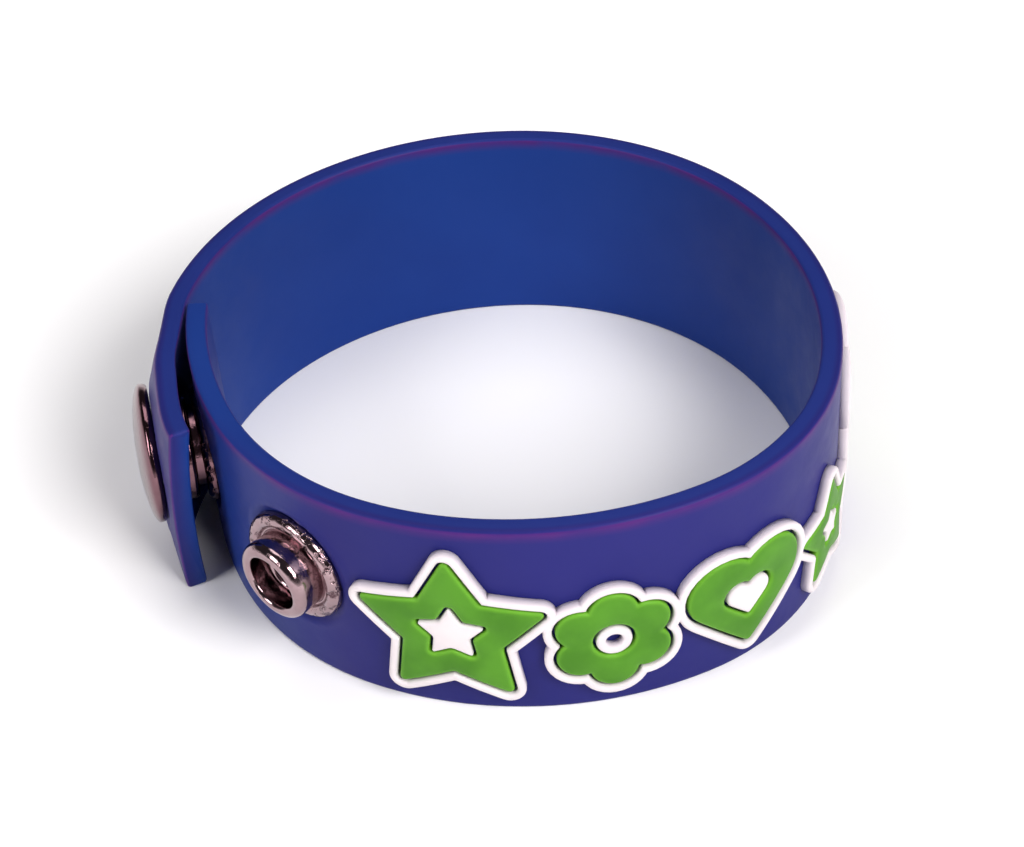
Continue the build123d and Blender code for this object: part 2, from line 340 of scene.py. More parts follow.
class Nodes:
    """Short way to build a material's nodes."""

    def __init__(self, name):
        self.material = bpy.data.materials.new(name)
        self.material.use_nodes = True
        self.tree = self.material.node_tree
        self.shader = self.tree.nodes["Principled BSDF"]
        self.place = self.tree.nodes.new("ShaderNodeTexCoord").outputs["Object"]

    def add(self, kind, **values):
        node = self.tree.nodes.new(kind)
        for key, value in values.items():
            setattr(node, key, value)
        return node

    def link(self, output, target):
        self.tree.links.new(output, target)

    def attribute(self, name):
        """A mesh point attribute as a number."""
        return self.add("ShaderNodeAttribute", attribute_name=name).outputs["Fac"]

    def product(self, first, second):
        node = self.add("ShaderNodeMath", operation="MULTIPLY")
        self.link(first, node.inputs[0])
        self.link(second, node.inputs[1])
        return node.outputs[0]

    def noise(self, scale, detail=3.0, roughness=0.5):
        node = self.add("ShaderNodeTexNoise")
        self.link(self.place, node.inputs["Vector"])
        node.inputs["Scale"].default_value = scale
        node.inputs["Detail"].default_value = detail
        node.inputs["Roughness"].default_value = roughness
        return node.outputs["Fac"]

    def span(self, value, low, high, to_low=0.0, to_high=1.0):
        node = self.add("ShaderNodeMapRange")
        self.link(value, node.inputs["Value"])
        for key, number in zip(("From Min", "From Max", "To Min", "To Max"), (low, high, to_low, to_high)):
            node.inputs[key].default_value = number
        return node.outputs["Result"]

    def mix(self, share, first, second):
        node = self.add("ShaderNodeMix", data_type="RGBA")
        self.link(share, node.inputs["Factor"])
        for socket, value in ((node.inputs[6], first), (node.inputs[7], second)):
            if isinstance(value, tuple):
                socket.default_value = value
            else:
                self.link(value, socket)
        return node.outputs[2]

    def bump(self, height, distance, strength=1.0, below=None):
        node = self.add("ShaderNodeBump")
        self.link(height, node.inputs["Height"])
        node.inputs["Distance"].default_value = distance
        node.inputs["Strength"].default_value = strength
        if below:
            self.link(below, node.inputs["Normal"])
        return node.outputs["Normal"]

    def set(self, **values):
        for key, value in values.items():
            socket = self.shader.inputs[key.replace("_", " ")]
            if hasattr(value, "links"):
                self.link(value, socket)
            else:
                socket.default_value = value


# Noise scales are per metre, bump depths and spreads are in metres
GRAIN_SCALE = 9000
GRAIN_DEPTH = 0.00001
GRAIN_STRENGTH = 0.35
SWELL_SCALE = 420
SWELL_DEPTH = 0.00008
SWELL_STRENGTH = 0.3
RUB_SCALE = 220
STRAP_DRIFT_SCALE = 60
RELIEF_DRIFT_SCALE = 240
SPREAD_REACH = 0.0006
NOISE_LOW = 0.35
NOISE_HIGH = 0.65


def pvc(name, colour, deep, tint, roughness, spread, drift_scale):
    """Moulded soft PVC: slow colour drift, fine grain and a few smoother rubbed patches."""
    n = Nodes(name)
    drift = n.span(n.noise(drift_scale, 4.0), NOISE_LOW, NOISE_HIGH)
    n.base = n.mix(drift, deep, colour)
    n.set(Base_Color=n.base)
    rub = n.noise(RUB_SCALE, 4.0, 0.6)
    n.set(Roughness=n.span(rub, 0.3, 0.7, roughness - 0.06, roughness + 0.08))
    grain = n.bump(n.noise(GRAIN_SCALE, 2.0, 0.6), GRAIN_DEPTH, GRAIN_STRENGTH)
    n.set(Normal=n.bump(n.noise(SWELL_SCALE, 2.0), SWELL_DEPTH, SWELL_STRENGTH, grain))
    n.set(IOR=1.45)
    n.set(Specular_IOR_Level=0.14)
    n.set(Specular_Tint=tint)
    n.set(Subsurface_Weight=spread)
    n.set(Subsurface_Radius=(SPREAD_REACH, SPREAD_REACH, SPREAD_REACH))
    n.set(Subsurface_Scale=1.0)
    return n


INSIDE_BLUE = srgb(22, 57, 130)
INSIDE_DEEP = srgb(18, 52, 124)
OUTSIDE_SHEEN_BLUE = srgb(30, 35, 100)
OUTSIDE_SHEEN_PALE = srgb(35, 38, 107)
# Violet of a painted highlight along the strap's upper edges
PAINTED_EDGE_HIGHLIGHT = srgb(74, 36, 106)
SKIN_SCALE = 45
HIGHLIGHT_PATCH_SCALE = 260


def pvc_blue():
    """Blue of the strap, more violet on its outer skin as a painted sheen of the front light, with a
    painted violet highlight along the upper edges.
    """
    n = pvc("pvc_blue", INSIDE_BLUE, INSIDE_DEEP, (1.0, 0.6, 0.85, 1.0), 0.42, 0.0, STRAP_DRIFT_SCALE)
    # The outer skin's colour is a painted sheen: a more violet copy of the blue, as lit from the front.
    sheen_blue = n.mix(n.span(n.noise(SKIN_SCALE, 3.0), NOISE_LOW, NOISE_HIGH), OUTSIDE_SHEEN_BLUE, OUTSIDE_SHEEN_PALE)
    n.base = n.mix(n.attribute("outer"), n.base, sheen_blue)
    highlight_patches = n.span(n.noise(HIGHLIGHT_PATCH_SCALE, 3.0), NOISE_LOW, NOISE_HIGH, 0.5, 0.95)
    # Painted highlight: the upper edges are mixed towards violet in uneven patches.
    n.set(Base_Color=n.mix(n.product(n.attribute("edge"), highlight_patches), n.base, PAINTED_EDGE_HIGHLIGHT))
    n.set(Sheen_Weight=0.03)
    n.set(Sheen_Roughness=0.4)
    n.set(Sheen_Tint=(0.6, 0.2, 0.7, 1.0))
    return n.material


def pvc_relief(name, colour, deep, rim, tint, roughness, spread, share):
    """Colour of the raised shapes, turning to another along their rims; on the green this is a painted
    highlight of the rounded edges.
    """
    n = pvc(name, colour, deep, tint, roughness, spread, RELIEF_DRIFT_SCALE)
    near = n.span(n.attribute("rim"), 0.25, 0.9, 0.0, share)
    n.set(Base_Color=n.mix(near, n.base, rim))
    return n.material


PLATE = srgb(168, 143, 147)
PLATE_DEEP = srgb(148, 125, 130)
# Dark maroon of the painted shade and painted dark reflection on the metal
PLATE_PAINTED_DARK = srgb(96, 58, 68)
TARNISH = srgb(66, 38, 48)
CLOUD_SCALE = 300
SPECK_SCALE = 1500
POLISH_SCALE = 900
SCRATCH_SCALE = 4200
PIT_DEPTH = 0.00007
SCRATCH_DEPTH = 0.00001


def nickel(name):
    """Plated metal with a warm mauve cast, tarnished and pitted where it is crimped, and darker where a
    mask paints shade and dark reflections onto it.
    """
    n = Nodes(name)
    plate = n.mix(n.span(n.noise(CLOUD_SCALE, 3.0), 0.3, 0.7), PLATE_DEEP, PLATE)
    # Painted shade and painted dark reflection: the plate is mixed towards dark maroon by a mask.
    plate = n.mix(n.span(n.attribute("painted_dark"), 0.0, 1.0, 0.0, 0.75), plate, PLATE_PAINTED_DARK)
    spots = n.span(n.noise(SPECK_SCALE, 3.0, 0.65), 0.53, 0.64)
    specks = n.product(spots, n.attribute("crimp"))
    n.set(Base_Color=n.mix(n.span(specks, 0.0, 1.0, 0.0, 0.8), plate, TARNISH))
    n.set(Metallic=1.0)
    n.set(Roughness=n.span(n.noise(POLISH_SCALE, 4.0), 0.3, 0.7, 0.05, 0.16))
    pitted = n.bump(n.span(specks, 0.0, 1.0, 0.0, -1.0), PIT_DEPTH, 0.8)
    n.set(Normal=n.bump(n.noise(SCRATCH_SCALE, 3.0, 0.7), SCRATCH_DEPTH, 0.4, pitted))
    return n.material


BLUE = pvc_blue()
WHITE = pvc_relief(
    "pvc_white",
    colour=srgb(224, 216, 217),
    deep=srgb(217, 208, 211),
    rim=srgb(210, 200, 208),
    tint=(1.0, 1.0, 1.0, 1.0),
    roughness=0.5,
    spread=0.1,
    share=0.5,
)
GREEN = pvc_relief(
    "pvc_green",
    colour=srgb(80, 138, 37),
    deep=srgb(66, 120, 30),
    # Lighter yellow-green along the rims: a painted highlight of the lit rounded edges
    rim=srgb(112, 176, 52),
    tint=(1.0, 1.0, 0.9, 1.0),
    roughness=0.42,
    spread=0.03,
    share=0.7,
)
NICKEL = nickel("nickel")


# Strap

CORNER_STEPS = 6
FACE_STEPS = 46
WALL_STEPS = 3
RING_STEP = 0.55
FINE_STEP = 0.25
FINE_REACH = 8.0
END_ROUND = 0.28
END_STEPS = 4
EDGE_FADE = 0.6
LEAST_ROUND = 0.02


def profile(inset):
    """Closed section of the band as lifts and heights, moved in by an inset all round."""
    lift = STRAP_THICK / 2 - inset
    half = STRAP_WIDTH / 2 - inset
    r = max(EDGE_ROUND - inset, LEAST_ROUND)
    points = []
    corners = (
        (lift - r, half - r, 0),
        (r - lift, half - r, 90),
        (r - lift, r - half, 180),
        (lift - r, r - half, 270),
    )
    for (x, z, turn), (next_x, next_z, _) in zip(corners, corners[1:] + corners[:1]):
        for k in range(CORNER_STEPS + 1):
            a = radians(turn + 90 * k / CORNER_STEPS)
            points.append((x + r * cos(a), z + r * sin(a)))
        end = radians(turn + 90)
        first = np.array((x + r * cos(end), z + r * sin(end)))
        last = np.array((next_x + r * cos(end), next_z + r * sin(end)))
        steps = FACE_STEPS if turn in (90, 270) else WALL_STEPS
        for k in range(1, steps):
            points.append(tuple(first + (last - first) * k / steps))
    return np.array(points)


def strap_stations():
    """Stations of the strap's rings, closer together at the snaps, with a rounded first and last end."""
    stations = [END_ROUND]
    fine = (SNAP_STATION, FREE_STUD_STATION, OVER_SNAP)
    while stations[-1] < BAND_LENGTH - END_ROUND:
        near = min(abs(stations[-1] - s) for s in fine)
        stations.append(stations[-1] + (FINE_STEP if near < FINE_REACH else RING_STEP))
    stations[-1] = BAND_LENGTH - END_ROUND
    rings = [(s, 0.0) for s in stations]
    for k in range(1, END_STEPS + 1):
        a = radians(90 * k / END_STEPS)
        rings.insert(0, (END_ROUND * (1 - sin(a)), END_ROUND * (1 - cos(a))))
        rings.append((BAND_LENGTH - END_ROUND * (1 - sin(a)), END_ROUND * (1 - cos(a))))
    return rings


def blended(natural, target, share):
    return natural + (target - natural) * share


# Ends of the stretches of band that hold the fastened stud, the free stud and the flap's metal
FASTENED_UNTIL = 30
FREE_UNTIL = 40
FLAP_FROM = 150
ROOM_UNDER_METAL = 0.05
ROOM_UNDER_CAP = 0.12
DENT_MARGIN = 0.12
DENT_FADE = 0.7
LIP_HEIGHT = 0.07
LIP_REACH = 0.75
LIP_WIDTH = 0.35


def press(points, side, station):
    """Pushes the band's skin down under the snap's flanges, with a soft rolled lip round each."""
    seat_level = SEAT - ROOM_UNDER_METAL
    cap_level = CAP_SEAT - CAP_SINK - ROOM_UNDER_CAP
    stud, post, cap_edge = FLANGE_DIA / 2, POST_FLANGE_DIA / 2, CAP_DIA / 2
    # Columns: seat, side of the band, radius of the flange, level of the dent, whether the ring is near
    pads = (
        ("fastened", 1, stud, seat_level, station < FASTENED_UNTIL),
        ("fastened", -1, post, seat_level, station < FASTENED_UNTIL),
        ("free", 1, stud, seat_level, station < FREE_UNTIL),
        ("free", -1, post, seat_level, station < FREE_UNTIL),
        ("flap", -1, stud, seat_level, station > FLAP_FROM),
        ("flap", 1, cap_edge, cap_level, station > FLAP_FROM),
    )
    for name, face, radius, level, here in pads:
        seat = SEATS[name]
        along, up, out = seat.local(points)
        reach = np.hypot(along, up)
        hold = here & (side * face > 0)
        height = out * face
        share = 1 - eased(np.clip((reach - radius - DENT_MARGIN) / DENT_FADE, 0, 1))
        lowered = np.minimum(height, blended(height, level, share))
        lip = LIP_HEIGHT * np.exp(-(((reach - radius - LIP_REACH) / LIP_WIDTH) ** 2))
        change = np.where(hold, lowered - height + lip * (reach > radius), 0.0)
        points = points + (change * face)[:, None] * seat.axis
    return points


# Painted sheen on the outer skin, from the inner end on, and the painted violet highlight of the upper
# corners
SHEEN_FROM = 12
SHEEN_OVER = 18
SHEEN_LEAST = 0.2
SHEEN_ON_TOP = 0.6
FAINT_VIOLET = 0.4
VIOLET_ON_ROUND = 0.7
VIOLET_ON_END = 0.4
TINY = 0.01


def skin_values(section, inset, station):
    """Shares of the outer skin's painted sheen and of the painted violet highlight at the points of a
    ring.
    """
    low, high = STRAP_THICK / 2 - EDGE_ROUND, STRAP_WIDTH / 2 - EDGE_ROUND
    # The painted sheen grows along the band from the inner end on, as the faces turn towards the front
    # light; the top faces take part of it.
    sheen_share = np.clip((station - SHEEN_FROM) / SHEEN_OVER, SHEEN_LEAST, 1)
    skin, edge = [], []
    for lift, height in section:
        on_top = height > high and lift < low
        skin.append(SHEEN_ON_TOP * sheen_share if on_top else sheen_share * (lift > low - TINY))
        # The upper corners, a faint band below them and the outer side of the flap's end get the painted
        # violet highlight.
        corner = high - TINY < height < high + VIOLET_ON_ROUND * EDGE_ROUND and abs(lift) > low
        below = high - EDGE_FADE < height <= high - TINY and abs(lift) > low
        flap_end = lift > low and inset > 0 and station > LOOP_LENGTH
        violet = 1.0 if corner or flap_end else FAINT_VIOLET * below
        edge.append(violet if inset < VIOLET_ON_END * END_ROUND else 0.0)
    return skin, edge


def make_strap():
    """The whole band as rings joined end to end."""
    rings = strap_stations()
    verts, skin, edge = [], [], []
    for station, inset in rings:
        section = profile(inset)
        count = len(section)
        ring = on_band(np.full(count, station), section[:, 0], section[:, 1] + STRAP_WIDTH / 2)
        on_face = np.abs(section[:, 0]) > STRAP_THICK / 2 - inset - 2 * TINY
        verts.append(press(ring, np.where(on_face, np.sign(section[:, 0]), 0), station))
        ring_skin, ring_edge = skin_values(section, inset, station)
        skin += ring_skin
        edge += ring_edge
    verts = np.vstack(verts)
    faces = []
    for i in range(len(rings) - 1):
        for k in range(count):
            a, b = i * count + k, i * count + (k + 1) % count
            faces.append((a, b, b + count, a + count))
    faces.append(tuple(range(count)))
    faces.append(tuple(range((len(rings) - 1) * count, len(rings) * count)))
    piece = new_object("strap_band", verts, faces, BLUE)
    # Point shares of the painted sheen on the outer skin and of the painted violet highlight on the edges
    for kind, values in (("outer", skin), ("edge", edge)):
        piece.data.attributes.new(kind, "FLOAT", "POINT").data.foreach_set("value", np.array(values))
    mend(piece)
    return piece


strap = make_strap()


BORE_STEPS = 64
BORE_FROM = -3.0
BORE_TO = 2.2
BORE_ROOM = 0.1


def bore(piece, seat, radius):
    """Round hole through the band on a snap's axis."""
    count = BORE_STEPS
    verts = []
    for depth in (BORE_FROM, BORE_TO):
        for k in range(count):
            a = 2 * pi * k / count
            ray = cos(a) * seat.along + sin(a) * seat.up
            verts.append(seat.point + seat.axis * depth + radius * ray)
    faces = [(k, (k + 1) % count, (k + 1) % count + count, k + count) for k in range(count)]
    faces += [tuple(range(count)), tuple(range(count, 2 * count))]
    tool = new_object("bore_tool", verts, faces)
    mend(tool)
    cut = piece.modifiers.new("bore", "BOOLEAN")
    cut.operation = "DIFFERENCE"
    cut.object = tool
    cut.solver = "EXACT"
    bpy.context.view_layer.update()
    made = bpy.data.meshes.new_from_object(piece.evaluated_get(bpy.context.evaluated_depsgraph_get()))
    piece.modifiers.remove(cut)
    piece.data = made
    bpy.data.objects.remove(tool)


for name in ("fastened", "free"):
    bore(strap, SEATS[name], BARREL_DIA / 2 + BORE_ROOM)
dress(strap, "pvc_blue", "strap")


# Snap pieces turned about their axes

LATHE_STEPS = 112
NOWHERE = 9.0
LEAST_SPECKS = 0.1
CRIMP_FADE = 0.5
PAINTED_DARK_FADE = 1.8
AXIS_RADIUS = 0.0005
ALMOST_STRAIGHT = 0.02
MOST_OF_A_SIDE = 0.49
METAL_ROUND_STEPS = 4
SHAPE_ROUND_STEPS = 8


def rounded(points, rounds, steps):
    """Closed outline with round corners, all of one radius or each of its own."""
    outline = []
    n = len(points)
    for i in range(n):
        p = np.array(points[i], float)
        before = np.array(points[i - 1], float) - p
        after = np.array(points[(i + 1) % n], float) - p
        r = rounds[i] if not isinstance(rounds, (int, float)) else rounds
        la, lb = hypot(*before), hypot(*after)
        u, v = before / la, after / lb
        half = np.arccos(np.clip(u @ v, -1, 1)) / 2
        if r <= 0 or abs(half - pi / 2) < ALMOST_STRAIGHT:
            outline.append(tuple(p))
            continue
        back = min(r / tan(half), MOST_OF_A_SIDE * la, MOST_OF_A_SIDE * lb)
        r = back * tan(half)
        centre = p + (u + v) / hypot(*(u + v)) * (r / sin(half))
        a0 = atan2(*(p + u * back - centre)[::-1])
        a1 = atan2(*(p + v * back - centre)[::-1])
        sweep = (a1 - a0 + pi) % (2 * pi) - pi
        for k in range(steps + 1):
            a = a0 + sweep * k / steps
            outline.append((centre[0] + r * cos(a), centre[1] + r * sin(a)))
    return outline


def ramp(value, start, width):
    """Smooth step from 0 to 1 over a width."""
    return eased(min(1.0, max(0.0, (value - start) / width)))


def lathe(name, outline, seat, base, facing=1, ripple=None, smooth_to=NOWHERE, painted_dark_from=NOWHERE):
    """Closed outline of (radius, height) turned about a seat's axis, its heights from a base level."""
    verts, faces, crimp, painted_dark = [], [], [], []
    n = len(outline)
    for k in range(LATHE_STEPS):
        a = 2 * pi * k / LATHE_STEPS
        ray = cos(a) * seat.along + sin(a) * seat.up
        for r, h in outline:
            push = ripple(a, r) if ripple else 0.0
            middle = seat.point + seat.axis * facing * (base + h + push)
            verts.append(middle + ray * max(r, AXIS_RADIUS))
            crimp.append(LEAST_SPECKS + (1 - LEAST_SPECKS) * ramp(r, smooth_to, CRIMP_FADE))
            # Share of painted darkening, standing in for shade and dark reflection, from a given radius
            # outward
            painted_dark.append(ramp(r, painted_dark_from, PAINTED_DARK_FADE))
    for k in range(LATHE_STEPS):
        here, following = k * n, (k + 1) % LATHE_STEPS * n
        for i in range(n):
            j = (i + 1) % n
            faces.append((here + i, here + j, following + j, following + i))
    piece = new_object(name, verts, faces, NICKEL)
    for kind, values in (("crimp", crimp), ("painted_dark", painted_dark)):
        piece.data.attributes.new(kind, "FLOAT", "POINT").data.foreach_set("value", np.array(values))
    mend(piece, weld=True)
    return piece


RIPPLE_FROM = 4.2
RIPPLE_MARKS = 17
RIPPLE_UNEVEN = 1.3
RIPPLE_BEATS = 5
RIPPLE_DEPTH = 0.06


def stud_ripple(a, r):
    """Small dents that the setting tool leaves round the outer flange."""
    if r < RIPPLE_FROM:
        return 0.0
    marks = max(0.0, cos(RIPPLE_MARKS * a + RIPPLE_UNEVEN * sin(RIPPLE_BEATS * a))) ** 4
    return -RIPPLE_DEPTH * marks * ramp(r, RIPPLE_FROM, CRIMP_FADE)


def bend(r, h, width, height, start, end, steps=9):
    """Points of an elliptic arc between two angles in degrees."""
    angles = [radians(start + (end - start) * k / steps) for k in range(steps + 1)]
    return [(r + width * cos(a), h + height * sin(a)) for a in angles]


# Stud and socket: radius of the hole, round ring of the flange, rolled lip and the drop of its inner side
STUD_HOLE = 2.15
FLANGE_ROLL = 0.68
FLANGE_RISE = 0.74
FLANGE_LEVEL = 0.22
LIP_ROLL = 0.78
LIP_INNER_WIDTH = 0.4
LIP_INNER_DROP = 0.42
UNDER = -0.02


def stud_outline():
    """Half round flange, a drum of a neck that ends in a thick rolled lip, and a deep bowl."""
    flange = FLANGE_DIA / 2
    lip = STUD_RING_DIA / 2
    crest = STUD_HEIGHT + LIP_RISE
    foot = [(STUD_HOLE, UNDER), (flange, UNDER)]
    ring = bend(flange - FLANGE_ROLL, FLANGE_LEVEL, FLANGE_ROLL, FLANGE_RISE, 0, 165)
    neck = [(lip + 0.02, 0.44), (lip - 0.03, 0.6), (lip - 0.06, 1.1), (lip - 0.03, 1.7)]
    outer_roll = bend(lip - LIP_ROLL, crest - LIP_ROLL, LIP_ROLL, LIP_ROLL, 0, 90)
    inner_roll = bend(lip - LIP_ROLL, crest - LIP_INNER_DROP, LIP_INNER_WIDTH, LIP_INNER_DROP, 90, 180)
    bowl = [(2.38, crest - 1.5), (STUD_HOLE, 0.6)]
    return foot + ring + neck + outer_roll + inner_roll[1:] + bowl


TUBE_PAST_SEATS = 1.35


def post_outline():
    """Domed ring flange with a rolled tube; heights run from the wrist side outward."""
    flange = POST_FLANGE_DIA / 2
    tube = BARREL_DIA / 2
    top = 2 * SEAT + TUBE_PAST_SEATS
    points = (
        (tube - 0.4, -0.45),
        (tube + 0.1, -0.68),
        (flange - 0.7, -0.62),
        (flange - 0.1, -0.3),
        (flange, 0.0),
        (tube, 0.0),
        (tube, top - 0.3),
        (tube + 0.1, top),
        (tube - 0.2, top + 0.22),
        (tube - 0.42, top),
    )
    rounds = (0.3, 0.3, 0.5, 0.2, 0.05, 0, 0.2, 0.15, 0.2, 0.2)
    return rounded(points, rounds, METAL_ROUND_STEPS)


def socket_outline():
    """Flange, a wall with a rolled rim and a spring bead inside it."""
    flange = FLANGE_DIA / 2
    points = (
        (STUD_HOLE, 0.0),
        (flange, 0.0),
        (flange, 0.3),
        (4.75, 0.42),
        (4.5, 0.9),
        (4.55, 1.8),
        (4.35, 2.2),
        (3.95, 2.1),
        (3.85, 1.7),
        (4.0, 1.3),
        (3.95, 0.5),
        (3.6, 0.38),
        (STUD_HOLE, 0.36),
    )
    rounds = (0, 0.05, 0.12, 0.2, 0.2, 0.2, 0.25, 0.2, 0.2, 0.2, 0.2, 0.2, 0)
    return rounded(points, rounds, METAL_ROUND_STEPS)


DOME_STEPS = 24
DOME_FOOT = 0.1
CAP_ROLL = 0.35
CAP_ROLL_DROP = 0.16 + CAP_SINK
CAP_UNDERSIDE = 0.06 - CAP_SINK
CAP_WALL = 1.1
BARREL_PAST_SEAT = 0.3


def cap_outline():
    """Low dome that turns over ever faster towards its rolled rim, and a solid barrel."""
    radius = CAP_DIA / 2
    barrel = BARREL_DIA / 2
    foot = -CAP_SEAT - SEAT - BARREL_PAST_SEAT
    dome = []
    for k in range(DOME_STEPS + 1):
        share = sin(pi / 2 * k / DOME_STEPS)
        rise = (CAP_HEIGHT - DOME_FOOT) * sqrt(max(0.0, 1 - share**2))
        dome.append((radius * share, DOME_FOOT + rise))
    rim = bend(radius - CAP_ROLL, DOME_FOOT, CAP_ROLL, CAP_ROLL_DROP, -12, -90, 7)
    underside = [(radius - CAP_WALL, CAP_UNDERSIDE), (barrel, CAP_UNDERSIDE)]
    return dome + rim + underside + [(barrel, foot), (0, foot)]


# Radii from which the metal is specked, and from which it is darkened as painted shade in the gap and a
# painted dark reflection on the cap
STUD_SPECKS_FROM = 3.8
CAP_PAINTED_DARK_FROM = 0.6
ALL_PAINTED_DARK = 0.0

# The fastened stud and the socket sit in the shaded gap under the flap and are darkened all over as
# painted shade; the cap is darkened from near its middle outward as a painted dark reflection.
for name in ("fastened", "free"):
    seat = SEATS[name]
    painted_dark_from = ALL_PAINTED_DARK if name == "fastened" else NOWHERE
    stud = lathe("stud_" + name, stud_outline(), seat, SEAT, 1, stud_ripple, STUD_SPECKS_FROM, painted_dark_from)
    dress(stud, "nickel", "snap_stud_" + name)
    post = lathe("post_" + name, post_outline(), seat, -SEAT)
    dress(post, "nickel", "snap_post_" + name)
socket = lathe("socket", socket_outline(), SEATS["flap"], SEAT, facing=-1, painted_dark_from=ALL_PAINTED_DARK)
dress(socket, "nickel", "snap_socket")
cap = lathe("cap", cap_outline(), SEATS["flap"], CAP_SEAT, painted_dark_from=CAP_PAINTED_DARK_FROM)
dress(cap, "nickel", "snap_cap")


# Relief outlines, as closed lists of points in a motif's own plane

ARC_STEPS = 14


def star(height):
    """Star whose points and hollows take turns round it."""
    step = pi / STAR_POINTS
    outer = height / (1 + cos(step))
    points = []
    for k in range(2 * STAR_POINTS):
        a = pi / 2 + k * step
        r = outer * (STAR_WAIST if k % 2 else 1)
        points.append((r * cos(a), r * sin(a)))
    return np.array(rounded(points, POINT_ROUND, SHAPE_ROUND_STEPS))


def flower(height):
    """Ring of round petals."""
    petal = height * PETAL_SHARE
    ring = height / 2 - petal
    half_step = pi / PETALS
    # Each petal shows from where it meets the one before to where it meets the next
    cusp = ring * cos(half_step) + sqrt(petal**2 - (ring * sin(half_step)) ** 2)
    opening = atan2(cusp * sin(half_step), cusp * cos(half_step) - ring)
    points = []
    for k in range(PETALS):
        middle = half_step + 2 * half_step * k
        for j in range(ARC_STEPS + 1):
            a = middle + opening * (2 * j / ARC_STEPS - 1)
            points.append((ring * cos(middle) + petal * cos(a), ring * sin(middle) + petal * sin(a)))
    return np.array(points)


def disc(radius):
    a = np.linspace(0, 2 * pi, 4 * ARC_STEPS, endpoint=False)
    return np.stack((radius * np.cos(a), radius * np.sin(a)), axis=-1)


def heart(height):
    """Square on its corner with a half circle on each upper side."""
    side = height / (0.5 + 3 * sqrt(0.5) / 2)
    lobe = side / sqrt(8)
    points = [(0, -height / 2)]
    for x, start in ((lobe, -45), (-lobe, 45)):
        for k in range(ARC_STEPS + 1):
            a = radians(start + 180 * k / ARC_STEPS)
            points.append((x + side / 2 * cos(a), 3 * lobe - height / 2 + side / 2 * sin(a)))
    rounds = [POINT_ROUND] + [0] * (len(points) - 1)
    return np.array(rounded(points, rounds, SHAPE_ROUND_STEPS))


OUTLINES = {"star": star, "flower": flower, "heart": heart}
OPENINGS = {"star": star, "flower": disc, "heart": heart}


FAR = 1e9
NO_LENGTH = 1e-12


def distance(x, y, outline):
    """Distance of points from a closed outline, negative inside it."""
    best = np.full(x.shape, FAR)
    inside = np.zeros(x.shape, bool)
    for (ax, ay), (bx, by) in zip(outline, np.roll(outline, -1, axis=0)):
        ex, ey = bx - ax, by - ay
        length = ex * ex + ey * ey
        if length < NO_LENGTH:
            continue
        px, py = x - ax, y - ay
        t = np.clip((px * ex + py * ey) / length, 0, 1)
        best = np.minimum(best, (px - t * ex) ** 2 + (py - t * ey) ** 2)
        if ay != by:
            crosses = (ay > y) != (by > y)
            inside ^= crosses & (px < (y - ay) * ex / ey)
    return np.where(inside, -1, 1) * np.sqrt(best)


class Motif:
    """One raised shape: its outline, its opening and its place on the band."""

    def __init__(self, kind, height, share, middle):
        self.outline = OUTLINES[kind](height)
        self.opening = OPENINGS[kind](height * share)
        # A flower's island is a ring, and this is the radius of the hollow in it
        self.ground = height * share - GROOVE - ISLAND_WALL if kind == "flower" else None
        self.middle = middle
        self.raise_by = BASELINE + BORDER - self.outline[:, 1].min()
        point, direction = band.at(middle)
        self.origin = point + outward(direction) * STRAP_THICK / 2
        self.along = direction

    def plane(self, station, height):
        """Coordinates in the motif's own plane, square on to its middle."""
        point, direction = band.at(station)
        skin = point + outward(direction) * (STRAP_THICK + RELIEF_HEIGHT) / 2
        return (skin - self.origin) @ self.along, height - self.raise_by

    def form(self, station, height):
        return distance(*self.plane(station, height), self.outline)

    def hole(self, station, height):
        return distance(*self.plane(station, height), self.opening)


def place_motifs():
    """Border plate, kind and motif of each raised shape, side by side along the band."""
    motifs = []
    station = RELIEF_START
    last = MOTIFS[0][0]
    for group, kind, height, share, tuck in MOTIFS:
        outline = OUTLINES[kind](height)
        half_width = np.ptp(outline[:, 0]) / 2 + BORDER
        station += GROUP_SPACE if group != last else 0
        last = group
        motifs.append((group, kind, Motif(kind, height, share, station + half_width - tuck)))
        station += 2 * half_width - tuck
    return motifs


# Relief meshes, cut from a distance field by its level lines

CELL = 0.13
INNER_STEP = 0.6
INNER_MARGIN = 0.12
FIELD_MARGIN = 0.2
BEVEL_STEPS = 4
RIM_REACH = 0.28
CROWN_REACH = 0.8
NEARLY_ZERO = 1e-9
SAME_POINT = 1e-4
# Columns: level of the top above the strap, round of the edge, rise of the crown
MOTIF_FORM = (0.78, 0.3, 0.1)
ISLAND_FORM = (0.8, 0.25, 0.06)
BORDER_FORM = (0.86, 0.28, 0.0)


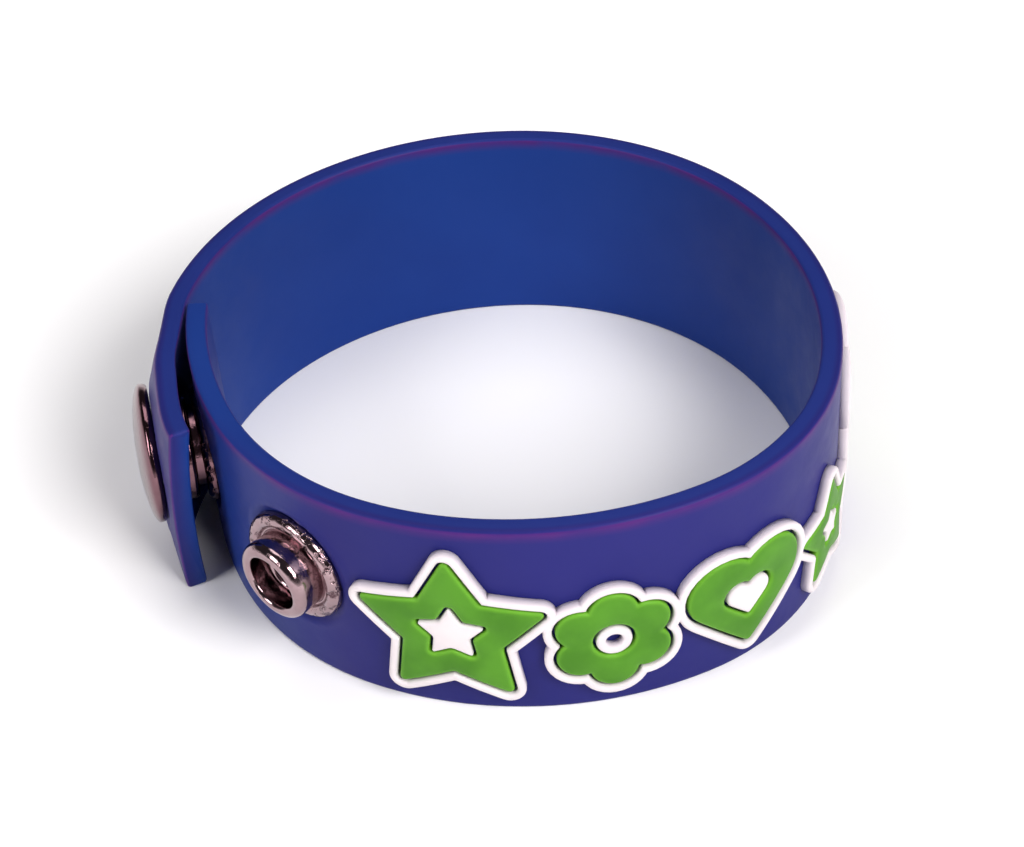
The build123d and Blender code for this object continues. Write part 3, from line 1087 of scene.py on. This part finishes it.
def level_line(field, xs, ys, level):
    """Points and segments of a field's level line, found cell by cell."""
    f = field - level
    f = np.where(f == 0, NEARLY_ZERO, f)
    index, points, segments = {}, [], []

    def crossing(i, j, di, dj):
        key = (i, j, di)
        if key not in index:
            a, b = f[i, j], f[i + di, j + dj]
            t = a / (a - b)
            index[key] = len(points)
            points.append((xs[i] + t * di * CELL, ys[j] + t * dj * CELL))
        return index[key]

    inside = f < 0
    code = inside[:-1, :-1] + 2 * inside[1:, :-1] + 4 * inside[1:, 1:] + 8 * inside[:-1, 1:]
    for i, j in zip(*np.nonzero((code > 0) & (code < 15))):
        sides = (
            lambda: crossing(i, j, 1, 0),
            lambda: crossing(i + 1, j, 0, 1),
            lambda: crossing(i, j + 1, 1, 0),
            lambda: crossing(i, j, 0, 1),
        )
        corners = (inside[i, j], inside[i + 1, j], inside[i + 1, j + 1], inside[i, j + 1])
        cut = [k for k in range(4) if corners[k] != corners[(k + 1) % 4]]
        if len(cut) == 2:
            segments.append((sides[cut[0]](), sides[cut[1]]()))
        else:
            pairs = ((0, 3), (1, 2)) if corners[0] else ((0, 1), (2, 3))
            for a, b in pairs:
                segments.append((sides[a](), sides[b]()))
    return points, segments


def flat_mesh(field_of, span, edge):
    """Points and triangles where a field is negative, with lines of points along the rounded edge."""
    low, high = span
    xs = np.arange(low - 2 * CELL, high + 2 * CELL, CELL)
    ys = np.arange(FIELD_MARGIN, STRAP_WIDTH - FIELD_MARGIN, CELL)
    field = field_of(*np.meshgrid(xs, ys, indexing="ij"))
    points, edges = [], []
    for k in range(BEVEL_STEPS + 1):
        inset = edge * (1 - cos(radians(90 * k / BEVEL_STEPS)))
        line, segments = level_line(field, xs, ys, -inset)
        edges += [(a + len(points), b + len(points)) for a, b in segments]
        points += line
    every = max(1, round(INNER_STEP / CELL))
    for i in range(0, len(xs), every):
        for j in range(0, len(ys), every):
            if field[i, j] < -edge - INNER_MARGIN:
                points.append((xs[i], ys[j]))
    flat, _, tris, _, _, _ = delaunay_2d_cdt([Vector(p) for p in points], edges, [], 0, SAME_POINT)
    flat = np.array([tuple(p) for p in flat])
    tris = np.array([t for t in tris if len(t) == 3])
    middles = flat[tris].mean(axis=1)
    return flat, tris[field_of(middles[:, 0], middles[:, 1]) < 0]


def open_edges(tris):
    """Edges that only one triangle has."""
    uses = {}
    for t in tris:
        for a, b in ((t[0], t[1]), (t[1], t[2]), (t[2], t[0])):
            key = (min(a, b), max(a, b))
            uses[key] = uses.get(key, 0) + 1
    return [edge for edge, count in uses.items() if count == 1]


def relief(name, field_of, span, material, form):
    """Raised piece over the places where a field is negative, with a round upper edge and a low crown."""
    top, edge, crown = form
    flat, tris = flat_mesh(field_of, span, edge)
    lie = np.clip(-field_of(flat[:, 0], flat[:, 1]), 0, None)
    lift = top - edge + np.sqrt(np.clip(edge**2 - np.clip(edge - lie, 0, edge) ** 2, 0, None))
    lift += crown * (1 - np.exp(-np.clip(lie - edge, 0, None) / CROWN_REACH))
    base = STRAP_THICK / 2 + RELIEF_LIFT
    upper = on_band(flat[:, 0], base + lift, flat[:, 1])
    lower = on_band(flat[:, 0], base, flat[:, 1])
    n = len(flat)
    faces = [tuple(t) for t in tris] + [tuple(n + k for k in t[::-1]) for t in tris]
    faces += [(a, b, b + n, a + n) for a, b in open_edges(tris)]
    piece = new_object(name, np.vstack((upper, lower)), faces, material)
    # Closeness to the rim, which carries the green's painted edge highlight
    near = piece.data.attributes.new("rim", "FLOAT", "POINT")
    near.data.foreach_set("value", np.tile(np.exp(-lie / RIM_REACH), 2))
    mend(piece)
    return piece


END_MARGIN = 0.6
OUT_OF_REACH = 3.0
AWAY = 9.0
MOTIF_LIST = place_motifs()


def reach_of(motif, more):
    """First and last station of a motif with more on either side."""
    half = np.ptp(motif.outline[:, 0]) / 2 + more + END_MARGIN
    return motif.middle - half, motif.middle + half


for number, (group, kind, motif) in enumerate(MOTIF_LIST, start=1):
    def form(u, v):
        return np.maximum(motif.form(u, v), -motif.hole(u, v))

    def island(u, v):
        field = motif.hole(u, v) + GROOVE
        if motif.ground:
            field = np.maximum(field, motif.ground - np.hypot(*motif.plane(u, v)))
        return field

    piece = relief(f"shape_{kind}_{number}", form, reach_of(motif, 0), GREEN, MOTIF_FORM)
    dress(piece, "pvc_green", f"motif_{kind}_{number}")
    piece = relief(f"inset_{kind}_{number}", island, reach_of(motif, 0), WHITE, ISLAND_FORM)
    dress(piece, "pvc_white", f"island_{kind}_{number}")

for group in ("first", "second"):
    members = [motif for plate_name, _, motif in MOTIF_LIST if plate_name == group]

    def plate(u, v):
        near = np.full(np.shape(u), FAR)
        for motif in members:
            far = np.abs(u - motif.middle) > np.ptp(motif.outline[:, 0]) / 2 + OUT_OF_REACH
            field = np.full(np.shape(u), AWAY)
            if not far.all():
                field[~far] = motif.form(u[~far], v[~far])
            near = np.minimum(near, field)
        return np.maximum(near - BORDER, GROOVE - near)

    ends = [reach_of(motif, BORDER) for motif in members]
    span = (min(start for start, _ in ends), max(end for _, end in ends))
    piece = relief("border_" + group, plate, span, WHITE, BORDER_FORM)
    dress(piece, "pvc_white", "relief_border_" + group)


# Floor, lights and camera

GLOW_START = 36.0
GLOW_FULL = 75.0


def paper(name, colour, roughness, glow):
    """Pale paper that glows with painted light away from the middle, as if lit from below on a light
    table.
    """
    n = Nodes(name)
    n.set(Base_Color=colour)
    n.set(Roughness=roughness)
    reach = n.add("ShaderNodeVectorMath", operation="LENGTH")
    n.link(n.place, reach.inputs[0])
    n.set(Emission_Color=(1.0, 1.0, 1.0, 1.0))
    n.set(Emission_Strength=n.span(reach.outputs["Value"], GLOW_START * MM, GLOW_FULL * MM, 0.0, glow))
    return n.material


FLOOR_HALF = 900.0
PAPER_WHITE = (0.96, 0.96, 0.96, 1.0)
corners = [(x * FLOOR_HALF, y * FLOOR_HALF, 0) for x, y in ((-1, -1), (1, -1), (1, 1), (-1, 1))]
floor = new_object("floor", corners, [(0, 1, 2, 3)], paper("floor_paper", PAPER_WHITE, 0.9, 0.3))


def studio_world(low_colour, high_colour, low_edge, high_edge):
    """Pale round the horizon and dim overhead, so that metal mirrors dark air between the lights."""
    world = bpy.data.worlds.new("studio")
    bpy.context.scene.world = world
    world.use_nodes = True
    tree = world.node_tree
    place = tree.nodes.new("ShaderNodeTexCoord").outputs["Generated"]
    split = tree.nodes.new("ShaderNodeSeparateXYZ")
    tree.links.new(place, split.inputs[0])
    ramp = tree.nodes.new("ShaderNodeMapRange")
    tree.links.new(split.outputs["Z"], ramp.inputs["Value"])
    ramp.inputs["From Min"].default_value = low_edge
    ramp.inputs["From Max"].default_value = high_edge
    mix = tree.nodes.new("ShaderNodeMix")
    mix.data_type = "RGBA"
    tree.links.new(ramp.outputs["Result"], mix.inputs["Factor"])
    mix.inputs[6].default_value = low_colour
    mix.inputs[7].default_value = high_colour
    tree.links.new(mix.outputs[2], tree.nodes["Background"].inputs["Color"])
    tree.nodes["Background"].inputs["Strength"].default_value = 1.0


HORIZON = (0.95, 0.94, 0.94, 1.0)
OVERHEAD = (0.05, 0.045, 0.05, 1.0)
studio_world(HORIZON, OVERHEAD, 0.02, 0.2)

# Columns: name, place, size, power in watts, colour
SOFTBOXES = (
    ("key", (229, -273, 321), (220, 220), 2.4, (1.0, 0.98, 0.98)),
    ("back", (0, 150, 440), (320, 240), 0.6, (1.0, 0.98, 0.99)),
    ("left", (-330, -200, 260), (160, 220), 1.0, (1.0, 0.98, 0.98)),
)
LIGHT_AIM = (0, 0, 5)


def softbox(name, place, size, power, colour):
    """Rectangular light that looks at the object."""
    data = bpy.data.lights.new(name, "AREA")
    data.shape = "RECTANGLE"
    data.size, data.size_y = size[0] * MM, size[1] * MM
    data.energy = power
    data.color = colour
    light = bpy.data.objects.new(name, data)
    bpy.context.scene.collection.objects.link(light)
    light.location = Vector(place) * MM
    light.rotation_euler = (Vector(LIGHT_AIM) - Vector(place)).to_track_quat("-Z", "Y").to_euler()


for light in SOFTBOXES:
    softbox(*light)

# Camera: the photograph's angle to the band
CAMERA_ELEVATION = 40.55
CAMERA_DISTANCE = 193.5
CAMERA_TILT = -0.655
CAMERA_PAN = 0.04
CAMERA_ROLL = -4.4
LENS = 76.79
SENSOR_WIDTH = 36.0
CLIP_NEAR = 10.0
CLIP_FAR = 10000.0
AIM_HEIGHT = 10.0

e = radians(CAMERA_ELEVATION)
right = Vector((1, 0, 0))
forward = Vector((0, cos(e), -sin(e)))
up = right.cross(forward)
ahead = (forward + tan(radians(CAMERA_PAN)) * right + tan(radians(CAMERA_TILT)) * up).normalized()
level = ahead.cross(up).normalized()
level_up = level.cross(ahead)
roll = radians(CAMERA_ROLL)
side_way = cos(roll) * level + sin(roll) * level_up
up_way = cos(roll) * level_up - sin(roll) * level
camera_data = bpy.data.cameras.new("camera")
camera = bpy.data.objects.new("camera", camera_data)
bpy.context.scene.collection.objects.link(camera)
camera_data.sensor_width = SENSOR_WIDTH
camera_data.lens = LENS
camera_data.clip_start = CLIP_NEAR * MM
camera_data.clip_end = CLIP_FAR * MM
place = Vector((*LOOP_CENTRE, AIM_HEIGHT)) - forward * CAMERA_DISTANCE
turn = Matrix((side_way, up_way, -ahead)).transposed().to_4x4()
camera.matrix_world = Matrix.Translation(place * MM) @ turn
bpy.context.scene.camera = camera
bpy.context.scene.view_settings.view_transform = "Standard"
